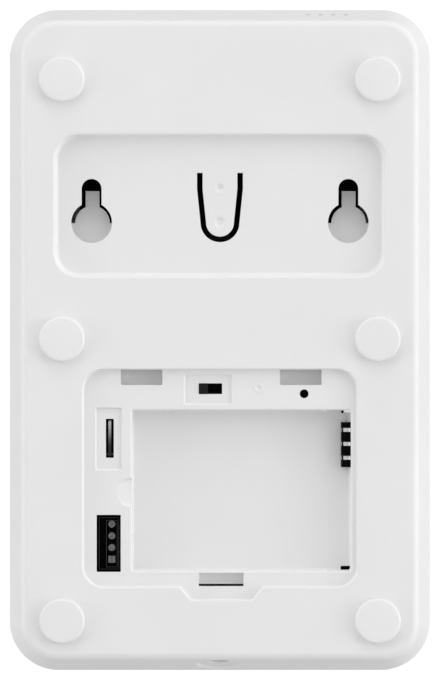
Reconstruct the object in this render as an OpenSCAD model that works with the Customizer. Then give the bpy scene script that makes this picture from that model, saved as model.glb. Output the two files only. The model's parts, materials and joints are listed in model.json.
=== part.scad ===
// Wall-hung alarm keypad panel with its battery door off.
// Upright as it hangs: +Z is up, the keys face -Y, and the wall is the plane Y = 0 that the feet touch.
// The origin is the middle of the outline, in the plane of the wall.

/* [Housing] */
// Width of the housing
body_w = 91.2; // [90:0.1:94]
// Height of the housing
body_h = 143.3; // [142:0.1:148]
// Corner radius at the widest line of the housing
corner_r = 10.6; // [9:0.1:11]
// Depth of the back cover, from the parting line to the back face
back_depth = 12; // [12:0.1:12.6]
// Depth of the front cover, from the parting line to the front face
front_depth = 5; // [5:0.1:5.4]
// Thickness of the side walls
side_wall = 2; // [1.8:0.1:2.2]
// Thickness of the large flat plates
plate = 1.8; // [1.6:0.1:1.8]
// How far the back cover's side walls lean in towards the back face
draft_in = 2.6; // [1.5:0.1:2.9]
// Width of the shadow gap between the two covers
parting_gap = 0.3; // [0.2:0.05:0.4]

/* [Feet and case screws] */
// Diameter of a foot
foot_d = 9.7; // [9:0.1:10]
// How far a foot stands out of the back face
foot_h = 1.6; // [1.2:0.1:1.8]
// Distance of the feet from the middle, left and right
foot_x = 34; // [33.5:0.1:34.5]
// Height of the top pair of feet
foot_top_z = 56.1; // [55:0.1:57]
// Height of the middle pair of feet
foot_mid_z = 0.2; // [-0.5:0.1:0.5]
// Height of the bottom pair of feet
foot_low_z = -60.5; // [-61:0.1:-60]

/* [Wall recess and keyholes] */
// Width of the recess that the wall screws sit in
recess_w = 71; // [70:0.5:72]
// Lower edge of the recess
recess_low_z = 13.8; // [13:0.1:14]
// Upper edge of the recess
recess_top_z = 44.1; // [43:0.1:45]
// Depth of the recess
recess_depth = 2.5; // [2:0.1:2.6]
// Distance between the two keyholes
keyhole_pitch = 55.4; // [54:0.1:56]
// Height of a keyhole's round entry
keyhole_z = 25.3; // [25:0.1:26]
// Diameter of the round entry, which the screw head passes
keyhole_head_d = 8.8; // [8:0.1:9]
// Width of the neck, which the screw shank slides up
keyhole_neck_w = 4.3; // [3.6:0.1:4.4]
// Travel from the middle of the entry to the end of the neck
keyhole_run = 7.3; // [7:0.1:8]
// Room for the screw head behind the recess plate
keyhole_room = 2.7; // [2.6:0.1:3]

/* [Wall tamper tab] */
// Height of the tab's root, where it bends
tab_root_z = 36; // [35:0.1:36.2]
// Height where the tab starts to narrow
tab_waist_z = 32.6; // [31:0.1:33]
// Height of the middle of the tab's round tip
tab_tip_z = 25.3; // [25:0.05:26]
// Width of the tab at its root
tab_root_w = 7.5; // [7:0.02:8]
// Radius of the tab's round tip
tab_tip_r = 3; // [2.8:0.1:3.2]
// Width of the slot around the tab
tab_slot = 1.2; // [0.9:0.01:1.3]

/* [Battery compartment] */
// Left edge of the battery door's seat
seat_x0 = -29.6; // [-30:0.1:-29]
// Right edge of the seat
seat_x1 = 29.5; // [29:0.1:30]
// Lower edge of the seat
seat_z0 = -53.2; // [-53.6:0.1:-53]
// Upper edge of the seat
seat_z1 = -6.3; // [-6.5:0.1:-6]
// Depth of the seat, the thickness of the door
seat_depth = 1.5; // [1.4:0.05:1.6]
// Left edge of the battery bay
bay_x0 = -28.25; // [-28.3:0.05:-28]
// Right edge of the bay
bay_x1 = 19; // [18.5:0.1:19.2]
// Lower edge of the bay
bay_z0 = -49.8; // [-50:0.1:-49.5]
// Upper edge of the bay
bay_z1 = -15.1; // [-15.3:0.1:-15]
// Depth of the bay below the seat
bay_depth = 5; // [4.6:0.1:5]

/* [Keys] */
// Width of a digit key
digit_w = 17.5; // [16:0.5:18]
// Height of a digit key
digit_h = 12.5; // [11:0.5:13]
// Width of a function key
function_w = 13; // [11:0.5:13.5]
// Height of a function key
function_h = 9; // [8:0.5:10]
// How far a key moves when it is pressed
key_travel = 0.9; // [0.6:0.05:0.9]
// How far a key stands out of the front face
key_proud = 0.8; // [0.6:0.05:1]

/* [Hidden] */
$fn = 48;
eps = 0.05;

// Depths of the main planes, counted from the wall
tub_wall = 1.5;
thin_wall = 1;
recess_t = 1.6;
edge_down = 1.4;
edge_in = 1.76;
back_y = -foot_h;
parting_y = back_y - back_depth;
front_y = parting_y - front_depth;
back_inner_y = back_y - plate;
front_inner_y = front_y + plate;
recess_y = back_y - recess_depth;
recess_under_y = recess_y - recess_t;
seat_y = back_y - seat_depth;
seat_under_y = seat_y - tub_wall;
bay_y = seat_y - bay_depth;
bay_under_y = bay_y - tub_wall;
keyhole_floor_y = recess_under_y - keyhole_room;
keyhole_floor_t = 1.2;
keyhole_floor_gap = 0.65;
keyhole_floor_shift = -0.15;
keyhole_floor_run = 6.9;

// Boards
board_t = 1.6;
board_y = bay_y + 0.1;
board_front_y = board_y - board_t;
keypad_board_t = 1.2;
keypad_board_front_y = front_inner_y + 2.6;
keypad_board_y = keypad_board_front_y + keypad_board_t;
board_half_w = body_w / 2 - 8;
board_z0 = -66;
board_z1 = 10;
tongue_half_w = 16;
tongue_z1 = 38;
board_gap = 0.3;
header_box = [-10, 10, 2.5, 7.5];
shield_box = [-14, 2, 14, 31];
shield_h = 2.2;
chip_box = [5.5, 12.5, 19, 26];
chip_h = 1.1;
antenna_x = 19.5;
antenna_z = 8.5;
antenna_len = 52;
antenna_r = 0.4;
antenna_rise = 1.2;
pad_pitch = 2.54;
pad_zs = [for (i = [0:3]) -39.8 - pad_pitch * i];
pad_x = 23.37;
pad_r = 0.75;
pad_h = 0.1;
keypad_board_half_w = 30.3;
keypad_board_z0 = -58;
keypad_board_z1 = 64;
mat_t = 0.4;
mat_half_w = 29.8;
mat_z0 = -46;
mat_z1 = 37;
dome_h = 0.5;
dome_w = 1.5;

// Feet and the screws under them
feet = [for (z = [foot_top_z, foot_mid_z, foot_low_z], side = [-1, 1]) [side * foot_x, z]];
foot_stud_r = 3.6;
foot_stud_h = 1.6;
foot_pocket_y = back_y - foot_stud_h - 0.1;
screw_head_r = 2;
screw_head_h = 1.6;
screw_shank_r = 1.1;
screw_seat_y = back_y - 8;
screw_length = 6.8;
cross_half = 1.1;
cross_w = 0.5;
cross_depth = 0.9;
boss_r = 3.3;
boss_end_y = screw_seat_y - 2;
front_boss_r = 3;
thread_bite = 0.02;

// Board screws
board_screw_r = 0.8;
board_screw_head_r = 1.8;
board_screw_head_h = 1.1;
board_screw_bite = 2;
board_posts = [[-25, 6], [25, 6], [-24, -61], [24, -61]];
keypad_posts = [[-27.5, 40.5], [27.5, 40.5], [-27.5, -52], [27.5, -52]];
post_r = 2.2;

// Corners and finger notch of the wells
recess_r = 5;
seat_r = 4.4;
notch_x0 = -9.45;
notch_x1 = 8.65;
notch_low_x0 = -7;
notch_low_x1 = 6.2;
notch_z = -56;

// Ribs that grip the battery, on the side wall, the end walls and in the connector's corner
rib_r = 0.4;
side_rib_zs = [-22.8, -41.9];
end_rib_xs = [11.5, -22.6];
corner_rib = [bay_x0 - eps, -26.8, bay_z1 - 0.5, bay_z1 + eps];

// Wall tamper switch under the tab
tamper_z = 24;
tamper_half_w = 2.3;
tamper_rest_y = recess_under_y - 0.12;
tamper_body_y = recess_under_y - 1;
tamper_plunger_r = 1.1;
guide_gap = 0.06;

// Hook pockets, latch pocket and windows in the seat: [x0, x1, z0, z1]
hook_pockets = [[12.4, 21.4], [-21.9, -12.9]];
hook_z0 = -9.7;
hook_y = seat_y - 3;
latch = [-5.1, 4.6, -53.1, bay_z0 - 0.4];
latch_y = seat_y - 3.5;
latch_shallow_y = seat_y - 2.3;
latch_slit = 0.45;
hook_undercut = 1.3;
core_holes = [[bay_x0, -26.1, bay_z0, bay_z0 + 0.95], [-26.8, -26.2, bay_z1 - 0.75, bay_z1 - 0.15]];
slide_recess = [-2.6, 7.6, -13.8, -7.5];
slide_slot = [-0.45, 4.55, -11.65, -9.35];
tamper_recess = [21.2, 26.7, -27.9, -14.7];
tamper_slot = [22.9, 24.6, -25.4, -17];
header_window = [21.4, 26.6, -50, -37.7];
shallow = 0.5;
reset_x = -18.15;
reset_z = -11.6;
reset_hole_r = 0.95;
reset_plunger_r = 0.7;
reset_half_w = 2.2;
reset_down = 1.2;
reset_up = 0.88;
scoop_x = bay_x1 + 0.4;
scoop_z = -32.8;
scoop_r = 2.95;
scoop_deg = 12;

// Slide switch
slide_mid_x = (slide_slot[0] + slide_slot[1]) / 2;
slide_mid_z = (slide_slot[2] + slide_slot[3]) / 2;
slide_stem_half = 0.65;
knob_half_h = 1;
knob_w = 1.75;
knob_x1 = slide_slot[1] - 0.2;
knob_x0 = knob_x1 - knob_w;
knob_groove_w = 0.25;
knob_groove_depth = 0.3;

// Door tamper: a bowed steel strip on a pin
lever_x = (tamper_slot[0] + tamper_slot[1]) / 2;
lever_w = 0.6;
lever_t = 0.25;
lever_pivot_y = -5.5;
lever_pivot_z = -24.7;
lever_peak_y = seat_y - 0.3;
lever_tip_z = -17.4;
lever_arc_r = 7;
lever_arc_z = -20.6;
lever_eye_r = 0.85;
lever_pin_r = 0.35;
lever_base = [lever_x - 1.7, lever_x + 1.7, -26.6, -15.8];
lever_well = [lever_x - 0.75, lever_x + 0.75, -25.9, -16.4];

// Battery connector
connector_x0 = -33.5;
connector_gap = 0.15;
connector_z0 = -27.35;
connector_z1 = -17.9;
connector_face_x = -26.3;
contact_zs = [-19.4, -22.42, -25.44];
contact_w = 0.8;
contact_nose_r = 0.6;
contact_nose_x = connector_face_x - 0.53;
contact_front_x = connector_face_x - 0.37;
contact_back_x = -30.4;
contact_lip = 0.3;
contact_dip_x = -27.75;
contact_dip_r = 0.3;
connector_top_y = seat_under_y - 0.1;
contact_slot_x = -31.2;
contact_slot_half = 0.5;

// Supply inlet in the bottom wall
wall_slope = draft_in / (back_depth - edge_down);
jack_y = -7.7;
jack_wall_z = -body_h / 2 + wall_slope * (jack_y - parting_y);
jack_half_w = 3;
jack_half_d = 2.4;
jack_len = 9.5;
jack_mouth_z = jack_wall_z + side_wall + wall_slope * jack_half_d + 0.15;
jack_back_z = jack_mouth_z + jack_len;
jack_bore_r = 1.75;
jack_pin_r = 0.65;
inlet_dish_r = 5;
inlet_dish_depth = 0.7;
inlet_hole_r = 1.9;

// Sounder slots in the top wall
grille_pitch = 2.74;
grille_xs = [for (i = [0:3]) -19 - grille_pitch * i];
grille_slot_w = 1;
grille_y0 = -8.9;
grille_y1 = -7.7;
buzzer_x = -23;
buzzer_z = 57;
buzzer_r = 4.9;
buzzer_h = 5.4;
buzzer_port_r = 0.9;

// Keys: rows from the top, columns from the left as seen from the front
key_pitch_z = 17;
digit_top_z = 13;
digit_pitch_x = 21;
function_z = 31;
function_pitch_x = (2 * digit_pitch_x + digit_w - function_w) / 3;
key_r = 2;
key_gap = 0.25;
key_flange = 0.7;
key_flange_t = 0.6;
key_stop_y = front_inner_y + eps;
key_stem_r = 2;
lip_gap = 0.5;
lip_t = 1;
lip_h = 1.5;
function_keys = [for (i = [0:3]) [(i - 1.5) * function_pitch_x, function_z]];
digit_keys = [for (row = [0:3], col = [-1:1]) [col * digit_pitch_x, digit_top_z - row * key_pitch_z]];

// Status window
window_half_w = 26;
window_z0 = 45.5;
window_z1 = 54.5;
window_t = 1.2;
window_ledge = 1.5;
window_r = 2;
led_half_w = 1.4;
led_half_h = 1;
led_h = 1.9;
led_z = (window_z0 + window_z1) / 2;
led_xs = [-18, -6, 6, 18];

// Draws its 2D children, laid out in X and Z, as a slab between two depths.
module slab(y_low, y_high) {
    translate([0, y_high, 0])
        rotate([90, 0, 0])
            linear_extrude(y_high - y_low)
                children();
}

module rect(x0, x1, z0, z1) {
    translate([x0, z0])
        square([x1 - x0, z1 - z0]);
}

module box_rect(b, grow = 0) {
    rect(b[0] - grow, b[1] + grow, b[2] - grow, b[3] + grow);
}

module round_rect(x0, x1, z0, z1, r) {
    rect(x0 + r, x1 - r, z0, z1);
    rect(x0, x1, z0 + r, z1 - r);
    for (x = [x0 + r, x1 - r], z = [z0 + r, z1 - r])
        translate([x, z])
            circle(r);
}

module disc(x, z, r) {
    translate([x, z])
        circle(r);
}

// A rounded block whose outline is inset by profile[i][0] at depth profile[i][1].
module profiled_block(half_w, half_h, r, profile) {
    last = len(profile) - 1;
    down = [for (i = [last:-1:0]) profile[i]];
    corner = concat([[0, profile[0][1]]], [for (p = profile) [r - p[0], p[1]]], [[0, profile[last][1]]]);
    across = concat([for (p = profile) [p[1], half_h - p[0]]], [for (p = down) [p[1], p[0] - half_h]]);
    upright = concat([for (p = profile) [half_w - p[0], p[1]]], [for (p = down) [p[0] - half_w, p[1]]]);
    for (x = [r - half_w, half_w - r], z = [r - half_h, half_h - r])
        translate([x, 0, z])
            rotate([-90, 0, 0])
                rotate_extrude()
                    polygon(corner);
    translate([r - half_w, 0, 0])
        rotate([90, 0, 90])
            linear_extrude(2 * (half_w - r))
                polygon(across);
    translate([0, 0, r - half_h])
        linear_extrude(2 * (half_h - r))
            polygon(upright);
}

// ---- Back cover ----

module back_skin() {
    difference() {
        profiled_block(body_w / 2, body_h / 2, corner_r, [
            [0, parting_y],
            [draft_in, back_y - edge_down],
            [draft_in + edge_in / 4, back_y - edge_down / 3],
            [draft_in + edge_in, back_y]
        ]);
        profiled_block(body_w / 2 - side_wall, body_h / 2 - side_wall, corner_r - side_wall, [
            [0, parting_y - 1],
            [0, parting_y],
            [wall_slope * (back_inner_y - parting_y), back_inner_y]
        ]);
    }
}

module keyhole_shape(shrink = 0) {
    neck_r = keyhole_neck_w / 2 - shrink;
    circle(keyhole_head_d / 2 - shrink);
    translate([-neck_r, 0])
        square([2 * neck_r, keyhole_run]);
    translate([0, keyhole_run])
        circle(neck_r);
}

module place_keyholes() {
    for (side = [-1, 1])
        translate([side * keyhole_pitch / 2, 0, keyhole_z])
            children();
}

// The floor behind a keyhole hangs from a wall around the lower half of the entry.
module keyhole_floor() {
    ring_r = keyhole_head_d / 2 + 1.2;
    slab(keyhole_floor_y - keyhole_floor_t, keyhole_floor_y)
        intersection() {
            translate([keyhole_floor_shift, 0])
                keyhole_shape(keyhole_floor_gap);
            rect(-ring_r, ring_r, -ring_r, keyhole_floor_run);
        }
    slab(keyhole_floor_y - keyhole_floor_t, keyhole_floor_y)
        difference() {
            circle(ring_r - 0.1);
            rect(-ring_r, ring_r, 0, ring_r);
        }
    slab(keyhole_floor_y - keyhole_floor_t, recess_under_y + eps)
        difference() {
            circle(ring_r);
            circle(keyhole_head_d / 2);
            rect(-ring_r, ring_r, 0, ring_r);
        }
}

module foot_boss(p) {
    slab(foot_pocket_y - 1.5, back_inner_y + eps)
        disc(p[0], p[1], foot_stud_r + 1);
    slab(boss_end_y, back_inner_y + eps)
        disc(p[0], p[1], boss_r);
}

module foot_boss_holes(p) {
    slab(foot_pocket_y, back_y + 1)
        disc(p[0], p[1], foot_stud_r + eps);
    slab(screw_seat_y, back_y + 1)
        disc(p[0], p[1], screw_head_r + 0.3);
    slab(boss_end_y - 1, back_y + 1)
        disc(p[0], p[1], screw_shank_r + 0.15);
}

// Outer forms of the wells that hang from the back plate
module compartment_walls() {
    slab(recess_under_y, back_y - 0.5)
        round_rect(-recess_w / 2 - tub_wall, recess_w / 2 + tub_wall,
                   recess_low_z - tub_wall, recess_top_z + tub_wall, recess_r + tub_wall);
    slab(seat_under_y, back_y - 0.5) {
        round_rect(seat_x0 - tub_wall, seat_x1 + tub_wall, seat_z0 - tub_wall, seat_z1 + tub_wall,
                   seat_r + tub_wall);
        rect(notch_x0 - tub_wall, notch_x1 + tub_wall, notch_z - tub_wall, seat_z0);
    }
    slab(bay_under_y, seat_y - 0.5)
        rect(bay_x0 - tub_wall, bay_x1 + tub_wall, bay_z0 - tub_wall, bay_z1 + tub_wall);
    slab(latch_y - thin_wall, seat_y - 0.5)
        rect(latch[0] - thin_wall, latch[1] + thin_wall, latch[2] - thin_wall, latch[3]);
    for (p = hook_pockets)
        slab(hook_y - thin_wall, seat_y - 0.5)
            rect(p[0] - thin_wall, p[1] + thin_wall,
                 hook_z0 - thin_wall, seat_z1 + hook_undercut + thin_wall);
}

// Small ribs that grip the battery
module crush_ribs() {
    slab(bay_y - eps, seat_y - 0.3) {
        for (z = side_rib_zs)
            disc(bay_x1 + 0.1, z, rib_r);
        for (x = end_rib_xs, z = [bay_z0 - 0.1, bay_z1 + 0.1])
            disc(x, z, rib_r);
        box_rect(corner_rib);
    }
}

module finger_notch() {
    polygon([[notch_x0, seat_z0 + 1], [notch_x0, seat_z0], [notch_low_x0, notch_z],
             [notch_low_x1, notch_z], [notch_x1, seat_z0], [notch_x1, seat_z0 + 1]]);
}

// The latch pocket's floor falls towards the slit at its lower edge.
module latch_pocket() {
    translate([latch[0], 0, 0])
        rotate([90, 0, 90])
            linear_extrude(latch[1] - latch[0])
                polygon([[latch_y, latch[2]], [latch_shallow_y, latch[3]],
                         [seat_y + 0.1, latch[3]], [seat_y + 0.1, latch[2]]]);
}

// A round-ended ramp that falls towards the bay, for the fingertip that lifts the battery
module finger_scoop() {
    intersection() {
        slab(bay_y, seat_y + 0.1)
            disc(scoop_x, scoop_z, scoop_r);
        translate([scoop_x + scoop_r, seat_y, scoop_z - scoop_r])
            rotate([0, 0, scoop_deg])
                translate([-2 * scoop_r, 0, 0])
                    cube([3 * scoop_r, bay_depth, 2 * scoop_r]);
    }
}

module compartment_hollows() {
    slab(recess_y, back_y + 1)
        round_rect(-recess_w / 2, recess_w / 2, recess_low_z, recess_top_z, recess_r);
    slab(seat_y, back_y + 1) {
        round_rect(seat_x0, seat_x1, seat_z0, seat_z1, seat_r);
        finger_notch();
    }
    slab(bay_y, seat_y + 0.1)
        rect(bay_x0, bay_x1, bay_z0, bay_z1);
    latch_pocket();
    slab(latch_y - 2, latch_y + 1)
        rect(latch[0], latch[1], latch[2], latch[2] + latch_slit);
    for (p = hook_pockets) {
        slab(hook_y, seat_y + 0.1)
            rect(p[0], p[1], hook_z0, seat_z1 - 0.1);
        slab(hook_y, seat_under_y)
            rect(p[0], p[1], hook_z0, seat_z1 + hook_undercut);
    }
    finger_scoop();
}

module seat_windows() {
    slab(seat_y - shallow, seat_y + 0.1) {
        box_rect(slide_recess);
        box_rect(tamper_recess);
    }
    slab(seat_under_y - 1, seat_y) {
        box_rect(slide_slot);
        box_rect(tamper_slot);
        box_rect(header_window);
    }
    slab(board_y, seat_y + 0.1)
        disc(reset_x, reset_z, reset_hole_r);
    slab(bay_under_y - 1, seat_under_y)
        rect(bay_x0 - tub_wall - 1, connector_face_x + connector_gap,
             connector_z0 - connector_gap, connector_z1 + connector_gap);
    slab(bay_under_y - 1, bay_y + 0.1)
        for (b = core_holes)
            box_rect(b);
}

module tab_outline(grow, root_z) {
    half = tab_root_w / 2 + grow;
    tip = tab_tip_r + grow;
    polygon([[-half, root_z], [-half, tab_waist_z], [-tip, tab_tip_z], [tip, tab_tip_z],
             [half, tab_waist_z], [half, root_z]]);
    disc(0, tab_tip_z, tip);
}

module jack_cut() {
    translate([0, jack_y, jack_wall_z]) {
        rotate([atan(wall_slope), 0, 0])
            translate([0, 0, -2])
                cylinder(r = inlet_dish_r, h = 2 + inlet_dish_depth);
        translate([0, 0, -2])
            cylinder(r = inlet_hole_r, h = 6);
    }
}

module grille_cut() {
    for (x = grille_xs)
        translate([x - grille_slot_w / 2, grille_y0, body_h / 2 - 5])
            cube([grille_slot_w, grille_y1 - grille_y0, 6]);
}

module back_cover() {
    color("white")
        difference() {
            union() {
                difference() {
                    union() {
                        back_skin();
                        compartment_walls();
                        for (p = feet)
                            foot_boss(p);
                        for (p = board_posts)
                            slab(board_y, back_inner_y + eps)
                                disc(p[0], p[1], post_r);
                    }
                    compartment_hollows();
                }
                crush_ribs();
                place_keyholes()
                    keyhole_floor();
            }
            place_keyholes()
                slab(recess_under_y - eps, recess_y + 1)
                    keyhole_shape();
            seat_windows();
            slab(recess_under_y - 1, recess_y + 1)
                tab_outline(tab_slot, tab_root_z + 0.05);
            for (p = feet)
                foot_boss_holes(p);
            for (p = board_posts)
                slab(board_y - 1, board_y + 3)
                    disc(p[0], p[1], board_screw_r + eps);
            jack_cut();
            grille_cut();
        }
}

// ---- Front cover ----

module key_places(places) {
    for (p = places)
        translate([p[0], p[1]])
            children();
}

module key_outline(w, h, grow = 0) {
    round_rect(-w / 2 - grow, w / 2 + grow, -h / 2 - grow, h / 2 + grow, key_r + grow);
}

module front_skin() {
    rim_y = parting_y - parting_gap;
    difference() {
        profiled_block(body_w / 2, body_h / 2, corner_r, [
            [1.6, front_y],
            [0.7, front_y + 0.3],
            [0.2, front_y + 0.9],
            [0, front_y + 1.8],
            [0, rim_y]
        ]);
        slab(front_inner_y, rim_y + 1)
            round_rect(side_wall - body_w / 2, body_w / 2 - side_wall,
                       side_wall - body_h / 2, body_h / 2 - side_wall, corner_r - side_wall);
    }
}

// Lip that fits inside the back cover and shows in the shadow gap
module front_lip() {
    outer = side_wall + lip_gap;
    inner = outer + lip_t;
    difference() {
        union() {
            slab(front_inner_y - eps, parting_y - parting_gap)
                lip_outline(side_wall - eps);
            slab(front_inner_y - eps, parting_y + lip_h)
                lip_outline(outer);
        }
        slab(front_inner_y - 1, parting_y + 2)
            lip_outline(inner);
    }
}

module lip_outline(inset) {
    round_rect(inset - body_w / 2, body_w / 2 - inset, inset - body_h / 2, body_h / 2 - inset,
               corner_r - inset);
}

module front_cover() {
    color("white")
        difference() {
            union() {
                front_skin();
                front_lip();
                for (p = feet)
                    slab(front_inner_y - eps, boss_end_y - eps)
                        disc(p[0], p[1], front_boss_r);
                for (p = keypad_posts)
                    slab(front_inner_y - eps, keypad_board_front_y)
                        disc(p[0], p[1], post_r);
            }
            slab(front_y - 1, front_inner_y + 1) {
                key_places(function_keys)
                    key_outline(function_w, function_h, key_gap);
                key_places(digit_keys)
                    key_outline(digit_w, digit_h, key_gap);
                round_rect(window_ledge - window_half_w, window_half_w - window_ledge,
                           window_z0 + window_ledge, window_z1 - window_ledge, 1);
            }
            slab(front_y - 1, front_y + window_t)
                round_rect(-window_half_w - 0.1, window_half_w + 0.1, window_z0 - 0.1, window_z1 + 0.1,
                           window_r + 0.1);
            for (p = feet)
                slab(front_inner_y, boss_end_y + 1)
                    disc(p[0], p[1], screw_shank_r + thread_bite);
            for (p = keypad_posts)
                slab(keypad_board_front_y - board_screw_bite - 0.2, keypad_board_front_y + 1)
                    disc(p[0], p[1], board_screw_r + thread_bite);
        }
}

module status_window() {
    color("black")
        slab(front_y + 0.02, front_y + window_t)
            round_rect(-window_half_w, window_half_w, window_z0, window_z1, window_r);
}

// ---- Feet and screws ----

module rubber_feet() {
    color("whitesmoke")
        for (p = feet)
            translate([p[0], back_y, p[1]])
                rotate([-90, 0, 0]) {
                    rotate_extrude()
                        polygon([[0, 0], [foot_d / 2, 0], [foot_d / 2, foot_h - 0.6],
                                 [foot_d / 2 - 0.2, foot_h - 0.2], [foot_d / 2 - 0.6, foot_h],
                                 [0, foot_h]]);
                    translate([0, 0, -foot_stud_h])
                        cylinder(r = foot_stud_r, h = foot_stud_h + eps);
                }
}

// A pan-head screw whose head seats at seat_y and whose shank points towards the front
module screw_to_front(p, seat_y, head_r, head_h, shank_r, length) {
    slab(seat_y, seat_y + head_h)
        disc(p[0], p[1], head_r);
    slab(seat_y - length, seat_y + eps)
        disc(p[0], p[1], shank_r);
}

module case_screws() {
    color("silver")
        for (p = feet)
            difference() {
                screw_to_front(p, screw_seat_y, screw_head_r, screw_head_h, screw_shank_r,
                               screw_length);
                slab(screw_seat_y + screw_head_h - cross_depth, screw_seat_y + screw_head_h + 1)
                    translate(p) {
                        square([2 * cross_half, cross_w], center = true);
                        square([cross_w, 2 * cross_half], center = true);
                    }
            }
}

module keypad_board_screws() {
    color("silver")
        for (p = keypad_posts)
            screw_to_front(p, keypad_board_y, board_screw_head_r, board_screw_head_h, board_screw_r,
                           keypad_board_t + board_screw_bite);
}

module main_board_screws() {
    color("silver")
        for (p = board_posts) {
            slab(board_front_y - board_screw_head_h, board_front_y)
                disc(p[0], p[1], board_screw_head_r);
            slab(board_front_y - eps, board_y + board_screw_bite)
                disc(p[0], p[1], board_screw_r);
        }
}

// ---- Wall tamper ----

module wall_tamper_tab() {
    color("white")
        slab(recess_under_y, recess_y)
            tab_outline(0, tab_root_z - 0.05);
}

module wall_tamper_switch() {
    color("dimgray")
        difference() {
            slab(board_y, tamper_body_y)
                rect(-tamper_half_w, tamper_half_w, tamper_z - tamper_half_w, tamper_z + tamper_half_w);
            slab(board_y + 0.1, tamper_body_y + 1)
                disc(0, tamper_z, tamper_plunger_r + guide_gap);
        }
}

module wall_tamper_plunger() {
    color("black")
        slab(board_y + 0.82, tamper_rest_y)
            disc(0, tamper_z, tamper_plunger_r);
}

// ---- Main board and what it carries ----

module main_board() {
    color([0.05, 0.06, 0.06])
        slab(board_front_y, board_y)
            difference() {
                union() {
                    rect(-board_half_w, board_half_w, board_z0, board_z1);
                    rect(-tongue_half_w, tongue_half_w, board_z1 - eps, tongue_z1);
                }
                rect(bay_x0 - tub_wall - board_gap, bay_x1 + tub_wall + board_gap,
                     latch[2] - tub_wall - board_gap, bay_z1 + tub_wall + board_gap);
                for (p = feet)
                    disc(p[0], p[1], boss_r + 2 * board_gap);
                for (p = board_posts)
                    disc(p[0], p[1], board_screw_r + board_gap);
                rect(-jack_half_w - board_gap, jack_half_w + board_gap,
                     board_z0 - 1, jack_back_z + board_gap);
            }
}

// Solder on the programming pads: three round, and a square one to mark the first
module header_pads() {
    color("silver")
        slab(board_y, board_y + pad_h)
            for (i = [0:3])
                translate([pad_x, pad_zs[i]])
                    if (i < 3)
                        circle(pad_r);
                    else
                        square(2 * pad_r, center = true);
}

module board_header() {
    color("black")
        slab(keypad_board_y, board_front_y)
            box_rect(header_box);
}

module radio_shield() {
    color("silver")
        slab(board_front_y - shield_h, board_front_y)
            box_rect(shield_box);
}

module main_chip() {
    color([0.12, 0.12, 0.13])
        slab(board_front_y - chip_h, board_front_y)
            box_rect(chip_box);
}

// Quarter-wave wire that rises from the board beside the tongue
module antenna_wire() {
    color("goldenrod")
        translate([antenna_x, board_y + antenna_rise, antenna_z]) {
            cylinder(r = antenna_r, h = antenna_len);
            sphere(antenna_r);
            rotate([90, 0, 0])
                cylinder(r = antenna_r, h = antenna_rise);
        }
}

module slide_switch_body() {
    color([0.1, 0.1, 0.1])
        difference() {
            slab(board_y, seat_under_y - 0.3)
                box_rect([slide_mid_x - 4.3, slide_mid_x + 4.3, slide_mid_z - 1.8, slide_mid_z + 1.8]);
            slab(board_y + 1, seat_under_y)
                box_rect([slide_mid_x - 2.3, slide_mid_x + 2.3,
                          slide_mid_z - slide_stem_half, slide_mid_z + slide_stem_half], 0.1);
        }
}

// The knob stands in the seat's slot, and a stem under it runs in the switch.
module slide_switch_knob() {
    color("black")
        difference() {
            union() {
                slab(seat_under_y - 0.2, seat_y - 0.25)
                    rect(knob_x0, knob_x1, slide_mid_z - knob_half_h, slide_mid_z + knob_half_h);
                slab(board_y + 1.1, seat_under_y)
                    rect(knob_x0 + 0.1, knob_x1 - 0.1,
                         slide_mid_z - slide_stem_half, slide_mid_z + slide_stem_half);
            }
            for (x = [knob_x0 + 0.45, knob_x0 + 1.05])
                slab(seat_y - 0.25 - knob_groove_depth, seat_y)
                    rect(x, x + knob_groove_w, slide_mid_z - 2, slide_mid_z + 2);
        }
}

module reset_switch_body() {
    color("dimgray")
        difference() {
            slab(board_y, seat_under_y - 0.9)
                rect(reset_x - reset_half_w, reset_x + reset_half_w,
                     reset_z - reset_down, reset_z + reset_up);
            slab(board_y + 0.5, seat_under_y)
                disc(reset_x, reset_z, reset_plunger_r + guide_gap);
        }
}

module reset_plunger() {
    color("black")
        slab(board_y + 0.9, seat_under_y - 0.1)
            disc(reset_x, reset_z, reset_plunger_r);
}

// ---- Door tamper ----

module door_tamper_base() {
    color([0.08, 0.08, 0.08])
        difference() {
            slab(board_y, lever_pivot_y + 0.7)
                box_rect(lever_base);
            slab(board_y + 1.1, lever_pivot_y + 2)
                box_rect(lever_well);
            translate([lever_x - 3, lever_pivot_y, lever_pivot_z])
                rotate([0, 90, 0])
                    cylinder(r = lever_pin_r, h = 6);
        }
}

module door_tamper_pin() {
    color("silver")
        translate([lever_x - 1.6, lever_pivot_y, lever_pivot_z])
            rotate([0, 90, 0])
                cylinder(r = lever_pin_r, h = 3.2);
}

function lever_arc_point(arc_y, r, a) = [arc_y + r * cos(a), lever_arc_z + r * sin(a)];

// Bowed strip: an arc from the eye on the pin over its crest to its tip
module door_tamper_lever() {
    arc_y = lever_peak_y - lever_arc_r;
    from_deg = asin((lever_pivot_z + 0.2 - lever_arc_z) / lever_arc_r);
    to_deg = asin((lever_tip_z - lever_arc_z) / lever_arc_r);
    steps = 16;
    angles = [for (i = [0:steps]) from_deg + (to_deg - from_deg) * i / steps];
    outer = [for (i = [0:steps]) lever_arc_point(arc_y, lever_arc_r, angles[i])];
    inner = [for (i = [steps:-1:0]) lever_arc_point(arc_y, lever_arc_r - lever_t, angles[i])];
    color("silver")
        difference() {
            union() {
                translate([lever_x - lever_w / 2, 0, 0])
                    rotate([90, 0, 90])
                        linear_extrude(lever_w)
                            polygon(concat(outer, inner));
                translate([lever_x - lever_w / 2, lever_pivot_y, lever_pivot_z])
                    rotate([0, 90, 0])
                        cylinder(r = lever_eye_r, h = lever_w);
            }
            translate([lever_x - 2, lever_pivot_y, lever_pivot_z])
                rotate([0, 90, 0])
                    cylinder(r = lever_pin_r + 0.04, h = 4);
        }
}

// ---- Battery connector ----

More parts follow.
